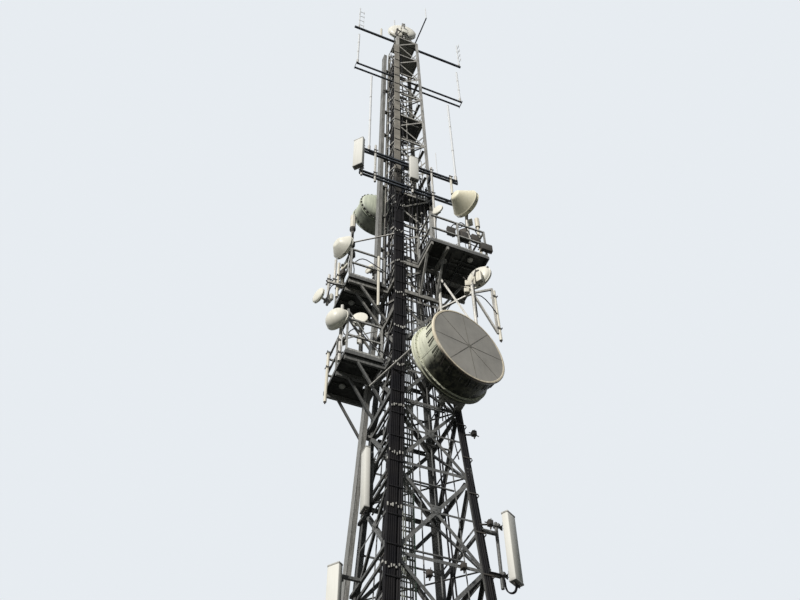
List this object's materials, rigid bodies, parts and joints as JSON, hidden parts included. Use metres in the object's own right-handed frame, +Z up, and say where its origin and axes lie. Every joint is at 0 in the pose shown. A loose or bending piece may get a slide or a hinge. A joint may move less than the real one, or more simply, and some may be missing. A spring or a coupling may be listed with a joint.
{
  "type": "cell tower",
  "caption": "Square steel lattice tower of angle bars with microwave dishes and drums, panel and whip aerials, three work platforms, ladder and feeder cables",
  "frame": {"origin": "centre of the underside of the front left leg's base plate, on the ground", "axes": "+X along the front face to the right leg, +Y to the back, +Z up the tower; the big drum faces the front"},
  "size_m": [4.7174, 3.7568, 36.941],
  "materials": {
    "galvanised_steel": "dull weathered zinc with pale streaks and a little rust",
    "rail_steel": "pale grey zinc, dull",
    "pole_steel": "pale grey zinc, satin",
    "deck_plate": "dull grey plate with worn edges",
    "dark_boom_steel": "dark blue-grey paint, satin",
    "tray_steel": "grey-beige zinc, streaked",
    "cable_jacket": "black weathered sheath",
    "box_paint": "grey paint, satin",
    "drum_shell": "greenish-grey paint with dust",
    "green_shell": "pale green-grey paint with dust",
    "radome_white": "off-white glass fibre, weathered",
    "panel_white": "off-white cover, weathered",
    "whip_white": "pale glass-fibre tube",
    "omni_white": "cream glass-fibre tube"
  },
  "bodies": {
    "root": {"back_drum": "green_shell", "back_drum_pole": "galvanised_steel", "big_drum": "drum_shell", "boom_poles": "pole_steel", "bracing_lower_back": "galvanised_steel", "bracing_lower_front": "galvanised_steel", "bracing_lower_left": "galvanised_steel", "bracing_lower_right": "galvanised_steel", "bracing_middle_back": "galvanised_steel", "bracing_middle_front": "galvanised_steel", "bracing_middle_left": "galvanised_steel", "bracing_middle_right": "galvanised_steel", "bracing_upper_back": "galvanised_steel", "bracing_upper_front": "galvanised_steel", "bracing_upper_left": "galvanised_steel", "bracing_upper_right": "galvanised_steel", "dish_poles": "pole_steel", "drum_mount": "galvanised_steel", "drum_stay": "galvanised_steel", "face_poles": "galvanised_steel", "feeder_box": "box_paint", "feeder_cables": "cable_jacket", "feeder_tray": "tray_steel", "ladder": "galvanised_steel", "left_dome_dish": "radome_white", "left_shroud_dish": "radome_white", "leg_back_left": "galvanised_steel", "leg_back_right": "galvanised_steel", "leg_front_left": "galvanised_steel", "leg_front_right": "galvanised_steel", "lower_boom": "dark_boom_steel", "lower_panels": "panel_white", "lower_platform_deck": "deck_plate", "lower_platform_frame": "galvanised_steel", "lower_platform_rail": "rail_steel", "mast_dish": "radome_white", "middle_boom": "dark_boom_steel", "middle_platform_deck": "deck_plate", "middle_platform_frame": "galvanised_steel", "middle_platform_rail": "rail_steel", "omni_aerials": "omni_white", "outrigger": "galvanised_steel", "plan_bracing": "galvanised_steel", "rest_plates": "deck_plate", "right_dish": "radome_white", "right_platform_deck": "deck_plate", "right_platform_frame": "galvanised_steel", "right_platform_rail": "rail_steel", "small_dishes": "radome_white", "top_boom": "dark_boom_steel", "upper_boom": "dark_boom_steel", "upper_panels": "panel_white", "upper_right_dish": "radome_white", "whip_aerials": "whip_white"}
  },
  "joints": []
}
